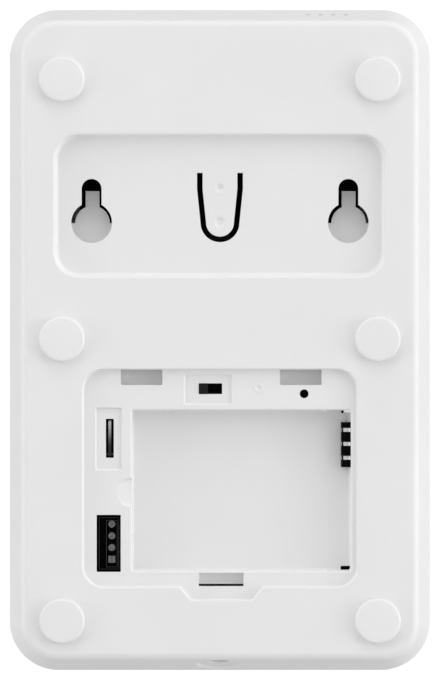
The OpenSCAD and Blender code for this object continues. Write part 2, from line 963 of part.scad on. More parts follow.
module battery_connector() {
    color([0.05, 0.05, 0.05])
        difference() {
            slab(board_y, connector_top_y)
                rect(connector_x0, connector_face_x, connector_z0, connector_z1);
            for (z = contact_zs) {
                slab(board_y + 0.3, connector_top_y + 1)
                    rect(contact_slot_x, connector_face_x - contact_lip,
                         z - contact_slot_half, z + contact_slot_half);
                slab(board_y + 0.3, board_y + 2.1)
                    rect(contact_slot_x, connector_face_x + 1,
                         z - contact_slot_half, z + contact_slot_half);
            }
        }
}

module battery_contacts() {
    blade_y = board_y + 0.5;
    color("silver")
        for (z = contact_zs)
            translate([0, 0, z - contact_w / 2]) {
                difference() {
                    translate([contact_back_x, blade_y, 0])
                        cube([contact_front_x - contact_back_x, connector_top_y - 0.1 - blade_y, contact_w]);
                    translate([contact_dip_x, connector_top_y, -1])
                        cylinder(r = contact_dip_r, h = 3);
                }
                translate([contact_nose_x, board_y + 1.2, 0])
                    cylinder(r = contact_nose_r, h = contact_w);
            }
}

// ---- Supply inlet ----

module dc_jack() {
    color([0.08, 0.08, 0.08])
        difference() {
            translate([-jack_half_w, jack_y - jack_half_d, jack_mouth_z])
                cube([2 * jack_half_w, 2 * jack_half_d, jack_len]);
            translate([0, jack_y, jack_mouth_z - 1])
                cylinder(r = jack_bore_r, h = jack_len);
        }
}

module dc_jack_pin() {
    color("silver")
        translate([0, jack_y, jack_mouth_z + 0.8])
            cylinder(r = jack_pin_r, h = jack_len - 1.8);
}

// ---- Keypad board ----

module keypad_board() {
    color([0.06, 0.07, 0.07])
        slab(keypad_board_front_y, keypad_board_y)
            difference() {
                rect(-keypad_board_half_w, keypad_board_half_w, keypad_board_z0, keypad_board_z1);
                for (p = keypad_posts)
                    disc(p[0], p[1], board_screw_r + 0.3);
            }
}

// Rubber sheet with a ring-shaped dome around each key's stem
module dome_mat() {
    places = concat(function_keys, digit_keys);
    color("lightgray")
        difference() {
            union() {
                slab(keypad_board_front_y - mat_t, keypad_board_front_y)
                    round_rect(-mat_half_w, mat_half_w, mat_z0, mat_z1, 2);
                slab(keypad_board_front_y - mat_t - dome_h, keypad_board_front_y - mat_t + eps)
                    key_places(places)
                        circle(key_stem_r + dome_w);
            }
            slab(keypad_board_front_y - 3, keypad_board_front_y + 1)
                key_places(places)
                    circle(key_stem_r + 0.3);
        }
}

module buzzer() {
    color([0.1, 0.1, 0.1])
        difference() {
            slab(keypad_board_y, keypad_board_y + buzzer_h)
                disc(buzzer_x, buzzer_z, buzzer_r);
            slab(keypad_board_y + buzzer_h - 0.8, keypad_board_y + buzzer_h + 1)
                disc(buzzer_x, buzzer_z, buzzer_port_r);
        }
}

module status_leds() {
    color("palegreen")
        for (x = led_xs)
            slab(keypad_board_front_y - led_h, keypad_board_front_y)
                rect(x - led_half_w, x + led_half_w, led_z - led_half_h, led_z + led_half_h);
}

// ---- Keys ----

// One key: a cap with an eased edge, a flange that stops it behind the front plate, and a stem
module key(p, w, h) {
    top_y = front_y - key_proud;
    flange_y = key_stop_y + key_flange_t;
    color([0.9, 0.9, 0.9])
        translate([p[0], 0, p[1]]) {
            profiled_block(w / 2, h / 2, key_r, [
                [0.5, top_y],
                [0.15, top_y + 0.15],
                [0, top_y + 0.5],
                [0, key_stop_y + eps]
            ]);
            slab(key_stop_y, flange_y)
                key_outline(w, h, key_flange);
            slab(flange_y - eps, keypad_board_front_y - key_travel - 0.1)
                circle(key_stem_r);
        }
}

back_cover();
front_cover();
rubber_feet();
case_screws();
wall_tamper_tab();
wall_tamper_switch();
wall_tamper_plunger();
main_board();
main_board_screws();
header_pads();
board_header();
radio_shield();
main_chip();
antenna_wire();
slide_switch_body();
slide_switch_knob();
reset_switch_body();
reset_plunger();
door_tamper_base();
door_tamper_pin();
door_tamper_lever();
battery_connector();
battery_contacts();
dc_jack();
dc_jack_pin();
keypad_board();
keypad_board_screws();
dome_mat();
buzzer();
status_leds();
status_window();
key(function_keys[0], function_w, function_h);  // key_arm
key(function_keys[1], function_w, function_h);  // key_home
key(function_keys[2], function_w, function_h);  // key_disarm
key(function_keys[3], function_w, function_h);  // key_alarm
key(digit_keys[0], digit_w, digit_h);  // key_1
key(digit_keys[1], digit_w, digit_h);  // key_2
key(digit_keys[2], digit_w, digit_h);  // key_3
key(digit_keys[3], digit_w, digit_h);  // key_4
key(digit_keys[4], digit_w, digit_h);  // key_5
key(digit_keys[5], digit_w, digit_h);  // key_6
key(digit_keys[6], digit_w, digit_h);  // key_7
key(digit_keys[7], digit_w, digit_h);  // key_8
key(digit_keys[8], digit_w, digit_h);  // key_9
key(digit_keys[9], digit_w, digit_h);  // key_star
key(digit_keys[10], digit_w, digit_h);  // key_0
key(digit_keys[11], digit_w, digit_h);  // key_hash
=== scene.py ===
"""Looks for the alarm keypad panel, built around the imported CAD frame.

The panel's lengths are in millimetres, in the CAD's own frame: +Z up, keys towards -Y, wall at Y = 0.
Materials, and the floor, lights and camera at the end, are in metres.
"""
import json
import math

import bmesh
import bpy
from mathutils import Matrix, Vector

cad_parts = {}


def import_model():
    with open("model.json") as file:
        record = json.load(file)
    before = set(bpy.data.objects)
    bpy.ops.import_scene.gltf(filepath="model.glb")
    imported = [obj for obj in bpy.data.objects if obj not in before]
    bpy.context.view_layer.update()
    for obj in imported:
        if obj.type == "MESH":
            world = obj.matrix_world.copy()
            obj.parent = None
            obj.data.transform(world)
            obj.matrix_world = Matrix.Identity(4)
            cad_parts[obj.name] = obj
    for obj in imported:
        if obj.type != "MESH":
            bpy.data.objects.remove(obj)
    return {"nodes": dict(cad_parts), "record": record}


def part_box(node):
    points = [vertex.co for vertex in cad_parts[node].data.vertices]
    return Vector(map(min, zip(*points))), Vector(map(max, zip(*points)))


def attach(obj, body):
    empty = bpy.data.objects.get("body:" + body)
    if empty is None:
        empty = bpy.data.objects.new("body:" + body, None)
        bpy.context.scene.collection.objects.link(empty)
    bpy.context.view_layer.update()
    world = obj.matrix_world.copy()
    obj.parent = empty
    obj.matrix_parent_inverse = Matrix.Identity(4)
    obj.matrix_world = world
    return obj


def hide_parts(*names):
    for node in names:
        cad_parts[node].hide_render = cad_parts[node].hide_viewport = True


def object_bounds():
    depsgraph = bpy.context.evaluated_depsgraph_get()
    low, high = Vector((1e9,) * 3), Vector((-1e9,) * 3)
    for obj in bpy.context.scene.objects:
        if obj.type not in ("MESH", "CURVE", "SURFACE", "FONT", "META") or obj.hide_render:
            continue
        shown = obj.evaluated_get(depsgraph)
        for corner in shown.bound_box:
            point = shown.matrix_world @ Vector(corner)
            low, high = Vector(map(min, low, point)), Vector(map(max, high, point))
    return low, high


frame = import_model()
cad_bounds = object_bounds()

MM = 0.001


def span(node):
    """Lowest and highest corner of a CAD node, in millimetres."""
    low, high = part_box(node)
    return low / MM, high / MM


# ---- Main planes and sizes, taken from the frame ----
cover_low, cover_high = span("back_cover")
HALF_W = cover_high.x
HALF_H = cover_high.z
BACK_Y = cover_high.y
PARTING_Y = cover_low.y
FRONT_Y = span("front_cover")[0].y
PARTING_GAP = 0.3
CORNER_R = 10.6
SIDE_WALL = 2
PLATE = 1.8
TUB_WALL = 1.5
THIN_WALL = 1
# Inward lean of the side walls for each millimetre towards the wall
WALL_SLOPE = 2.6 / 10.6
EDGE_R = 1.8
FRONT_EDGE_R = 1.7
BACK_INNER_Y = BACK_Y - PLATE
FRONT_INNER_Y = FRONT_Y + PLATE

# Wall recess, keyholes and tamper tab
tab_low, tab_high = span("wall_tamper_tab")
RECESS_Y = tab_high.y
RECESS_UNDER_Y = tab_low.y
RECESS_HALF_W = 35.5
RECESS_Z = (13.8, 44.1)
RECESS_R = 5
KEYHOLE_X = 27.7
KEYHOLE_Z = 25.3
KEYHOLE_R = 4.4
KEYHOLE_NECK_R = 2.15
KEYHOLE_RUN = 7.3
KEYHOLE_FLOOR_Y = RECESS_UNDER_Y - 2.7
KEYHOLE_FLOOR_T = 1.2
KEYHOLE_FLOOR_GAP = 0.65
KEYHOLE_FLOOR_SHIFT = -0.15
KEYHOLE_FLOOR_RUN = 6.9
KEYHOLE_RING_R = KEYHOLE_R + 1.2
TAB_HALF_W = tab_high.x
TAB_ROOT_Z = tab_high.z + 0.1
TAB_WAIST_Z = 32.6
TAB_TIP_R = 3
TAB_TIP_Z = tab_low.z + TAB_TIP_R
TAB_SLOT = 1.2
TAB_EDGE = 0.1
# Height and radius of each ejector dimple on the tab
TAB_DIMPLES = ((32.8, 1.1), (25.4, 1.45))

# Battery door seat and bay; boxes are (x0, x1, z0, z1)
SEAT_Y = BACK_Y - 1.5
SEAT_UNDER_Y = SEAT_Y - TUB_WALL
BAY_Y = SEAT_Y - 5
BAY_UNDER_Y = BAY_Y - TUB_WALL
SEAT = (-29.6, 29.5, -53.2, -6.3)
SEAT_R = 4.4
NOTCH_X = (-9.45, 8.65)
NOTCH_LOW_X = (-7, 6.2)
NOTCH_Z = -56
BAY = (-28.25, 19, -49.8, -15.1)
HOOKS = ((12.4, 21.4), (-21.9, -12.9))
HOOK_Z0 = -9.7
HOOK_Y = SEAT_Y - 3
HOOK_UNDERCUT = 1.3
LATCH = (-5.1, 4.6, -53.1, -50.2)
LATCH_Y = SEAT_Y - 2.6
LATCH_SHALLOW_Y = SEAT_Y - 1.9
LATCH_SLIT = 0.45
LATCH_EDGE = 0.15
SLIDE_RECESS = (-2.6, 7.6, -13.8, -7.5)
SLIDE_SLOT = (-0.45, 4.55, -11.65, -9.35)
TAMPER_RECESS = (21.2, 26.7, -27.9, -14.7)
TAMPER_SLOT = (22.9, 24.6, -25.4, -17)
HEADER_WINDOW = (21.4, 26.6, -50, -37.7)
SHALLOW = 0.5
RESET = (-18.15, -11.6)
RESET_R = 0.95
SCOOP = (19.4, -32.8)
SCOOP_R = 2.95
SCOOP_FALL = math.tan(math.radians(14))
RIB_R = 0.4
SIDE_RIB_ZS = (-22.8, -41.9)
END_RIB_XS = (11.5, -22.6)
CORNER_RIB = (-28.3, -26.8, -15.6, -15.05)
CORE_HOLES = ((-28.25, -26.1, -49.8, -48.85), (-26.8, -26.2, -15.85, -15.25))
CONNECTOR_WINDOW = (-30.75, -26.15, -27.5, -17.75)
GATE_MARK = (-8.3, -10.3)

# Feet, screws and posts
foot_low, foot_high = span("rubber_feet")
FOOT_R = 4.85
FOOT_X = foot_high.x - FOOT_R
FOOT_ZS = (foot_high.z - FOOT_R, 0.2, foot_low.z + FOOT_R)
FEET = [(side * FOOT_X, z) for z in FOOT_ZS for side in (-1, 1)]
STUD_R = 3.6
STUD_END_Y = foot_low.y
SCREW_SEAT_Y = BACK_Y - 8
BOSS_R = 3.3
BOSS_END_Y = SCREW_SEAT_Y - 2
BOARD_Y = span("main_board")[1].y
BOARD_POSTS = [(-25, 6), (25, 6), (-24, -61), (24, -61)]
KEYPAD_FRONT_Y = span("keypad_board")[0].y
KEYPAD_POSTS = [(-27.5, 40.5), (27.5, 40.5), (-27.5, -52), (27.5, -52)]
POST_R = 2.2
SCREW_HEAD_R = 2.3
SCREW_PASS_R = 1.25
BOARD_PILOT_R = 0.85
CASE_PILOT_R = 1.12
KEYPAD_PILOT_R = 0.82
PILLAR_R = 3

# Inlet and sounder slots
JACK_Y = -7.7
JACK_Z = -HALF_H + WALL_SLOPE * (JACK_Y - PARTING_Y)
INLET_DISH_R = 5
INLET_HOLE_R = 1.9
GRILLE_X0 = -19
GRILLE_PITCH = 2.74
GRILLE_XS = [GRILLE_X0 - GRILLE_PITCH * i for i in range(4)]
GRILLE_Y = (-8.9, -7.7)

# Keys
KEY_R = 2
KEY_GAP = 0.25
KEY_STEM_R = 2
KEY_DISH = 0.25
KEY_FLANGE = 0.7
KEY_ROLL = 0.5
# Caps wider than this carry a digit, star or hash, the others an icon
DIGIT_KEY_W = 15
key_names = [n for n in frame["nodes"] if n.startswith("key_")]
window_low, window_high = span("status_window")


# ---- Outlines: closed lists of (x, z), counter-clockwise ----

def arc(cx, cz, r, start_deg, end_deg, steps):
    """Points along an arc, both ends included."""
    points = []
    for i in range(steps + 1):
        a = math.radians(start_deg + (end_deg - start_deg) * i / steps)
        points.append((cx + r * math.cos(a), cz + r * math.sin(a)))
    return points


def circle(cx, cz, r, steps=48):
    return arc(cx, cz, r, 0, 360 * (steps - 1) / steps, steps - 1)


def rounded(corners, steps=6):
    """A polygon given as (x, z, radius), with each corner rounded by its radius."""
    points = []
    for i, (x, z, r) in enumerate(corners):
        if r <= 0:
            points.append((x, z))
            continue
        corner = Vector((x, z))
        before = (Vector(corners[i - 1][:2]) - corner).normalized()
        after = (Vector(corners[(i + 1) % len(corners)][:2]) - corner).normalized()
        half = before.angle(after) / 2
        centre = corner + (before + after).normalized() * r / math.sin(half)
        first = corner + before * r / math.tan(half) - centre
        last = corner + after * r / math.tan(half) - centre
        start = math.degrees(math.atan2(first.y, first.x))
        sweep = (math.degrees(math.atan2(last.y, last.x)) - start + 180) % 360 - 180
        points += arc(centre.x, centre.y, r, start, start + sweep, steps)
    return points


def rect(x0, x1, z0, z1, r=0.0, steps=8):
    return rounded([(x0, z0, r), (x1, z0, r), (x1, z1, r), (x0, z1, r)], steps)


def grow(outline, distance):
    """The outline moved outwards by a distance, with mitred corners."""
    moved = []
    count = len(outline)
    for i in range(count):
        here = Vector(outline[i])
        back = (here - Vector(outline[i - 1])).normalized()
        ahead = (Vector(outline[(i + 1) % count]) - here).normalized()
        n1 = Vector((back.y, -back.x))
        n2 = Vector((ahead.y, -ahead.x))
        push = (n1 + n2) * distance / (1 + n1.dot(n2))
        moved.append((here.x + push.x, here.y + push.y))
    return moved


def keyhole(cx, cz, shrink=0.0):
    big = KEYHOLE_R - shrink
    neck = KEYHOLE_NECK_R - shrink
    meet = math.degrees(math.asin(neck / big))
    points = arc(cx, cz + KEYHOLE_RUN, neck, 0, 180, 16)
    return points + arc(cx, cz, big, 90 + meet, 450 - meet, 40)


def tab_outline(by, root_z):
    half = TAB_HALF_W + by
    tip = TAB_TIP_R + by
    points = arc(0, TAB_TIP_Z, tip, 180, 360, 24)
    return points + [(half, TAB_WAIST_Z), (half, root_z), (-half, root_z), (-half, TAB_WAIST_Z)]


# ---- Meshes ----

def at_depth(outline, y):
    return [(x, y, z) for x, z in outline]


def loft_into(bm, loops, ring=False):
    """Adds a closed skin through loops of equal length. A ring joins its last loop to its first."""
    rows = [[bm.verts.new(Vector(p) * MM) for p in loop] for loop in loops]
    count = len(rows[0])
    last = len(rows) if ring else len(rows) - 1
    for k in range(last):
        a = rows[k]
        b = rows[(k + 1) % len(rows)]
        for i in range(count):
            j = (i + 1) % count
            bm.faces.new((a[i], a[j], b[j], b[i]))
    if not ring:
        bm.faces.new(list(reversed(rows[0])))
        bm.faces.new(rows[-1])


def solids(name, loop_sets, ring=False):
    """One mesh object holding a closed skin for each set of loops."""
    bm = bmesh.new()
    for loops in loop_sets:
        loft_into(bm, loops, ring)
    bmesh.ops.recalc_face_normals(bm, faces=bm.faces)
    mesh = bpy.data.meshes.new(name)
    bm.to_mesh(mesh)
    bm.free()
    obj = bpy.data.objects.new(name, mesh)
    bpy.context.scene.collection.objects.link(obj)
    return obj


def prism(outline, y_low, y_high):
    return [at_depth(outline, y_low), at_depth(outline, y_high)]


def quarter(steps=5):
    """Cosine and sine at even steps of a quarter turn."""
    return [(math.cos(math.pi / 2 * i / steps), math.sin(math.pi / 2 * i / steps)) for i in range(steps + 1)]


def pocket(outline, y_top, y_floor, rim=0.0, floor_r=0.0, head=1.0, draft=0.0):
    """Loops of a cutter: it flares by rim at y_top, closes in by draft and rounds by floor_r at its floor."""
    lift = 0.003
    loops = [at_depth(grow(outline, rim), y_top + head)]
    for c, s in reversed(quarter()):
        if rim > 0:
            loops.append(at_depth(grow(outline, rim * (1 - c)), y_top + lift - rim * (1 - s)))
    for c, s in quarter():
        if floor_r > 0:
            loops.append(at_depth(grow(outline, floor_r * (c - 1) - draft), y_floor + floor_r * (1 - s)))
    if floor_r <= 0:
        loops.append(at_depth(grow(outline, -draft), y_floor))
    return loops


def boolean(target, tool, operation="DIFFERENCE"):
    """Cuts or adds the tool, and removes it."""
    modifier = target.modifiers.new("cut", "BOOLEAN")
    modifier.operation = operation
    modifier.object = tool
    modifier.solver = "MANIFOLD"
    bpy.context.view_layer.update()
    graph = bpy.context.evaluated_depsgraph_get()
    result = bpy.data.meshes.new_from_object(target.evaluated_get(graph))
    target.modifiers.clear()
    target.data = result
    bpy.data.objects.remove(tool)


def cut(target, *loop_sets):
    boolean(target, solids("cutter", loop_sets))


def add(target, *loop_sets):
    boolean(target, solids("adder", loop_sets), "UNION")


def shade(obj, sharp_deg=32):
    """Smooth shading with hard edges only where faces meet steeply."""
    mesh = obj.data
    mesh.polygons.foreach_set("use_smooth", [True] * len(mesh.polygons))
    mesh.set_sharp_from_angle(angle=math.radians(sharp_deg))
    modifier = obj.modifiers.new("weighted", "WEIGHTED_NORMAL")
    modifier.keep_sharp = True
    modifier.weight = 80
    return obj


def piece(obj, name, body, material, slot, *nodes):
    """Names a finished piece, gives it its material and puts it on its CAD body. The slot argument is not
    used.
    """
    obj.name = name
    obj.data.name = name
    obj.data.materials.clear()
    obj.data.materials.append(material)
    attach(obj, body)
    if nodes:
        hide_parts(*nodes)
    return obj


# ---- Materials ----

def new_material(name):
    """A material with an empty tree, its shader and its object coordinates."""
    material = bpy.data.materials.new(name)
    material.use_nodes = True
    tree = material.node_tree
    shader = tree.nodes["Principled BSDF"]
    coords = tree.nodes.new("ShaderNodeTexCoord")
    return material, tree, shader, coords.outputs["Object"]


def noise(tree, coords, scale, detail=2.0, roughness=0.5):
    node = tree.nodes.new("ShaderNodeTexNoise")
    node.inputs["Scale"].default_value = scale
    node.inputs["Detail"].default_value = detail
    node.inputs["Roughness"].default_value = roughness
    tree.links.new(coords, node.inputs["Vector"])
    return node.outputs["Fac"]


def stretched(tree, coords, scale):
    node = tree.nodes.new("ShaderNodeMapping")
    node.inputs["Scale"].default_value = scale
    tree.links.new(coords, node.inputs["Vector"])
    return node.outputs["Vector"]


def remap(tree, value, low, high):
    """Stretches the middle of a noise, where most of its values lie, over low to high."""
    node = tree.nodes.new("ShaderNodeMapRange")
    node.inputs["From Min"].default_value = 0.3
    node.inputs["From Max"].default_value = 0.7
    node.inputs["To Min"].default_value = low
    node.inputs["To Max"].default_value = high
    tree.links.new(value, node.inputs["Value"])
    return node.outputs["Result"]


def two_tone(tree, value, first, second):
    node = tree.nodes.new("ShaderNodeMix")
    node.data_type = "RGBA"
    node.inputs["A"].default_value = (*first, 1)
    node.inputs["B"].default_value = (*second, 1)
    tree.links.new(value, node.inputs["Factor"])
    return node.outputs["Result"]


def bump(tree, shader, height, strength, distance):
    node = tree.nodes.new("ShaderNodeBump")
    node.inputs["Strength"].default_value = strength
    node.inputs["Distance"].default_value = distance
    tree.links.new(height, node.inputs["Height"])
    tree.links.new(node.outputs["Normal"], shader.inputs["Normal"])


def moulded(name, dark, light, rough, grain_scale, grain_height, specular=0.5):
    """Moulded plastic or rubber: faint clouding, uneven sheen and a fine eroded grain."""
    material, tree, shader, coords = new_material(name)
    cloud = remap(tree, noise(tree, coords, 45, 3), 0, 1)
    tree.links.new(two_tone(tree, cloud, dark, light), shader.inputs["Base Color"])
    sheen_noise = noise(tree, coords, 140, 4)
    tree.links.new(remap(tree, sheen_noise, rough[0], rough[1]), shader.inputs["Roughness"])
    grain = noise(tree, coords, grain_scale, 3, 0.6)
    bump(tree, shader, grain, 0.35, grain_height)
    shader.inputs["Specular IOR Level"].default_value = specular
    return material


def metal(name, dark, light, rough, direction):
    """Plated or rolled metal with fine lines along the direction that is least stretched."""
    material, tree, shader, coords = new_material(name)
    lines = noise(tree, stretched(tree, coords, direction), 1, 4, 0.6)
    tree.links.new(two_tone(tree, remap(tree, lines, 0, 1), dark, light), shader.inputs["Base Color"])
    tree.links.new(remap(tree, lines, rough[0], rough[1]), shader.inputs["Roughness"])
    shader.inputs["Metallic"].default_value = 1
    bump(tree, shader, lines, 0.2, 0.00002)
    return material


def lever_steel(name):
    """Polished strip with painted shade: its colour darkens from bright steel to near black towards its lower
    end, where its shine fades.
    """
    material, tree, shader, coords = new_material(name)
    height = tree.nodes.new("ShaderNodeSeparateXYZ")
    tree.links.new(coords, height.inputs["Vector"])
    low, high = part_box("door_tamper_lever")
    # Painted shade: a ramp over the lever's height, 0 low on the strip and 1 at its top
    painted_shade_ramp = tree.nodes.new("ShaderNodeMapRange")
    painted_shade_ramp.interpolation_type = "SMOOTHSTEP"
    painted_shade_ramp.inputs["From Min"].default_value = low.z + 0.3 * (high.z - low.z)
    painted_shade_ramp.inputs["From Max"].default_value = high.z
    tree.links.new(height.outputs["Z"], painted_shade_ramp.inputs["Value"])
    lines = noise(tree, stretched(tree, coords, (9000, 9000, 300)), 1, 4, 0.6)
    lit_steel_colour = two_tone(tree, remap(tree, lines, 0, 1), (0.5, 0.5, 0.51), (0.72, 0.72, 0.73))
    # Mixes near-black painted shade into the steel's colour towards the lower end
    mix = tree.nodes.new("ShaderNodeMix")
    mix.data_type = "RGBA"
    mix.inputs["A"].default_value = (0.05, 0.05, 0.052, 1)
    tree.links.new(lit_steel_colour, mix.inputs["B"])
    tree.links.new(painted_shade_ramp.outputs["Result"], mix.inputs["Factor"])
    tree.links.new(mix.outputs["Result"], shader.inputs["Base Color"])
    tree.links.new(remap(tree, lines, 0.16, 0.26), shader.inputs["Roughness"])
    shader.inputs["Metallic"].default_value = 1
    bump(tree, shader, lines, 0.2, 0.00002)
    return material


def board_lacquer(name):
    """Black solder mask over faint copper tracks."""
    material, tree, shader, coords = new_material(name)
    tracks = tree.nodes.new("ShaderNodeTexBrick")
    tracks.inputs["Scale"].default_value = 160
    tracks.inputs["Mortar Size"].default_value = 0.06
    tracks.inputs["Mortar Smooth"].default_value = 0.4
    turned = tree.nodes.new("ShaderNodeMapping")
    turned.inputs["Rotation"].default_value = (math.pi / 2, 0, 0)
    tree.links.new(coords, turned.inputs["Vector"])
    tree.links.new(turned.outputs["Vector"], tracks.inputs["Vector"])
    tree.links.new(
        two_tone(tree, tracks.outputs["Fac"], (0.0012, 0.0014, 0.0014), (0.0025, 0.0028, 0.0028)),
        shader.inputs["Base Color"],
    )
    tree.links.new(remap(tree, noise(tree, coords, 300, 3), 0.22, 0.34), shader.inputs["Roughness"])
    bump(tree, shader, tracks.outputs["Fac"], 0.4, 0.00003)
    shader.inputs["Specular IOR Level"].default_value = 0.02
    return material


def smoked(name):
    """Polished dark window resin."""
    material, tree, shader, coords = new_material(name)
    haze = noise(tree, coords, 90, 4)
    tint = two_tone(tree, haze, (0.010, 0.010, 0.012), (0.02, 0.02, 0.024))
    tree.links.new(tint, shader.inputs["Base Color"])
    tree.links.new(remap(tree, noise(tree, coords, 500, 4), 0.06, 0.12), shader.inputs["Roughness"])
    bump(tree, shader, haze, 0.05, 0.00005)
    shader.inputs["Coat Weight"].default_value = 0.4
    shader.inputs["Coat Roughness"].default_value = 0.05
    return material


WHITE_ABS = moulded("white_abs", (0.800, 0.800, 0.800), (0.825, 0.825, 0.825), (0.46, 0.54), 5200, 0.00004)
WHITE_RUBBER = moulded("white_rubber", (0.80, 0.80, 0.80), (0.83, 0.83, 0.83), (0.58, 0.68), 3000, 0.00003)
KEY_PLASTIC = moulded("key_plastic", (0.74, 0.74, 0.74), (0.77, 0.77, 0.77), (0.48, 0.56), 4200, 0.00004)
DOME_RUBBER = moulded("dome_rubber", (0.55, 0.57, 0.59), (0.6, 0.62, 0.64), (0.55, 0.65), 2500, 0.00003)
BLACK_PLASTIC = moulded("black_plastic", (0.002, 0.002, 0.0022), (0.004, 0.004, 0.0045), (0.4, 0.5),
                        4000, 0.00004, specular=0.03)
DARK_PLASTIC = moulded("dark_plastic", (0.005, 0.005, 0.0055), (0.008, 0.008, 0.009), (0.4, 0.5),
                       4000, 0.00004, specular=0.1)
KNOB_BLACK = moulded("knob_black", (0.009, 0.009, 0.0095), (0.014, 0.014, 0.015), (0.3, 0.4),
                     4000, 0.00004, specular=0.2)
LEGEND_INK = moulded("legend_ink", (0.05, 0.055, 0.06), (0.07, 0.075, 0.08), (0.4, 0.5), 6000, 0.00001)
SILK_INK = moulded("silk_ink", (0.045, 0.045, 0.047), (0.07, 0.07, 0.073), (0.5, 0.6), 6000, 0.00001)
LED_RESIN = moulded("led_resin", (0.70, 0.82, 0.64), (0.78, 0.88, 0.72), (0.2, 0.3), 900, 0.00002)
STEEL = metal("steel", (0.55, 0.56, 0.58), (0.68, 0.69, 0.71), (0.25, 0.4), (900, 900, 900))
SPRING_STEEL = lever_steel("spring_steel")
CONTACT_METAL = metal("contact_metal", (0.86, 0.86, 0.85), (0.95, 0.95, 0.94), (0.28, 0.4), (300, 9000, 9000))
SOLDER = metal("solder", (0.14, 0.14, 0.145), (0.36, 0.365, 0.37), (0.35, 0.5), (2500, 2500, 2500))
TINNED_SHIELD = metal("tinned_shield", (0.6, 0.61, 0.62), (0.72, 0.73, 0.74), (0.3, 0.42), (600, 600, 600))
COPPER_WIRE = metal("copper_wire", (0.6, 0.3, 0.13), (0.75, 0.42, 0.2), (0.25, 0.35), (4000, 4000, 200))
BLACK_BOARD = board_lacquer("black_board")
SMOKED_WINDOW = smoked("smoked_window")

SLOT_MATERIALS = {
    "white_plastic": WHITE_ABS,
    "white_rubber": WHITE_RUBBER,
    "steel": STEEL,
    "spring_steel": SPRING_STEEL,
    "contact_metal": CONTACT_METAL,
    "solder": SOLDER,
    "tinned_shield": TINNED_SHIELD,
    "copper_wire": COPPER_WIRE,
    "black_board": BLACK_BOARD,
    "black_plastic": BLACK_PLASTIC,
    "dark_plastic": DARK_PLASTIC,
    "key_plastic": KEY_PLASTIC,
    "dome_rubber": DOME_RUBBER,
    "led_resin": LED_RESIN,
    "smoked_window": SMOKED_WINDOW,
}


# ---- Back cover ----

def body_outline(inset):
    return rect(inset - HALF_W, HALF_W - inset, inset - HALF_H, HALF_H - inset, CORNER_R - inset, 14)


def cover_loops():
    """Drafted side walls that roll over into the flat back face."""
    lean = math.atan(WALL_SLOPE)
    sharp_inset = WALL_SLOPE * (BACK_Y - PARTING_Y)
    turn = math.pi / 2 - lean
    reach = EDGE_R * math.tan(turn / 2)
    centre_y = BACK_Y - EDGE_R
    centre_inset = sharp_inset + reach
    loops = [at_depth(body_outline(0), PARTING_Y)]
    steps = 7
    for i in range(steps + 1):
        a = lean + turn * i / steps
        outline = body_outline(centre_inset - EDGE_R * math.cos(a))
        loops.append(at_depth(outline, centre_y + EDGE_R * math.sin(a)))
    return loops


def seat_outline():
    x0, x1, z0, z1 = SEAT
    return rounded([
        (x0, z0, SEAT_R), (NOTCH_X[0], z0, 0.4), (NOTCH_LOW_X[0], NOTCH_Z, 0.5),
        (NOTCH_LOW_X[1], NOTCH_Z, 0.5), (NOTCH_X[1], z0, 0.4), (x1, z0, SEAT_R),
        (x1, z1, SEAT_R), (x0, z1, SEAT_R),
    ], 8)


def spread(b, by):
    return rect(b[0] - by, b[1] + by, b[2] - by, b[3] + by)


def cavity():
    """The room inside the back cover: a drafted block less the wells, bosses and posts that hang in it."""
    def inner(inset):
        far = SIDE_WALL + inset
        return rect(far - HALF_W, HALF_W - far, far - HALF_H, HALF_H - far, CORNER_R - far, 14)

    room = solids("cavity", [[
        at_depth(inner(0), PARTING_Y - 1),
        at_depth(inner(0), PARTING_Y),
        at_depth(inner(WALL_SLOPE * (BACK_INNER_Y - PARTING_Y)), BACK_INNER_Y),
    ]])
    top = BACK_Y - 0.5
    recess = (-RECESS_HALF_W, RECESS_HALF_W, *RECESS_Z)
    notch = rect(NOTCH_X[0] - TUB_WALL, NOTCH_X[1] + TUB_WALL, NOTCH_Z - TUB_WALL, SEAT[2])
    forms = [
        prism(grow(rect(*recess, RECESS_R), TUB_WALL), RECESS_UNDER_Y, top),
        prism(grow(rect(*SEAT, SEAT_R), TUB_WALL), SEAT_UNDER_Y, top),
        prism(notch, SEAT_UNDER_Y, top),
        prism(spread(BAY, TUB_WALL), BAY_UNDER_Y, top),
        prism(spread(LATCH, THIN_WALL), LATCH_Y - THIN_WALL, top),
    ]
    for x0, x1 in HOOKS:
        box = (x0, x1, HOOK_Z0, SEAT[3] + HOOK_UNDERCUT)
        forms.append(prism(spread(box, THIN_WALL), HOOK_Y - THIN_WALL, top))
    for x, z in FEET:
        forms.append(prism(circle(x, z, STUD_R + 1), STUD_END_Y - 1.6, top))
        forms.append(prism(circle(x, z, BOSS_R), BOSS_END_Y, top))
    for x, z in BOARD_POSTS:
        forms.append(prism(circle(x, z, POST_R, 32), BOARD_Y, top))
    for side in (-1, 1):
        x = side * KEYHOLE_X
        floor_end = KEYHOLE_Z + KEYHOLE_FLOOR_RUN
        slab = [(px, min(pz, floor_end)) for px, pz in
                keyhole(x + KEYHOLE_FLOOR_SHIFT, KEYHOLE_Z, KEYHOLE_FLOOR_GAP)]
        forms.append(prism(slab, KEYHOLE_FLOOR_Y - KEYHOLE_FLOOR_T, KEYHOLE_FLOOR_Y))
        half_ring = arc(x, KEYHOLE_Z, KEYHOLE_RING_R, 180, 360, 32)
        forms.append(prism(half_ring, KEYHOLE_FLOOR_Y - KEYHOLE_FLOOR_T, RECESS_UNDER_Y + 0.1))
    for form in forms:
        cut(room, form)
    return room


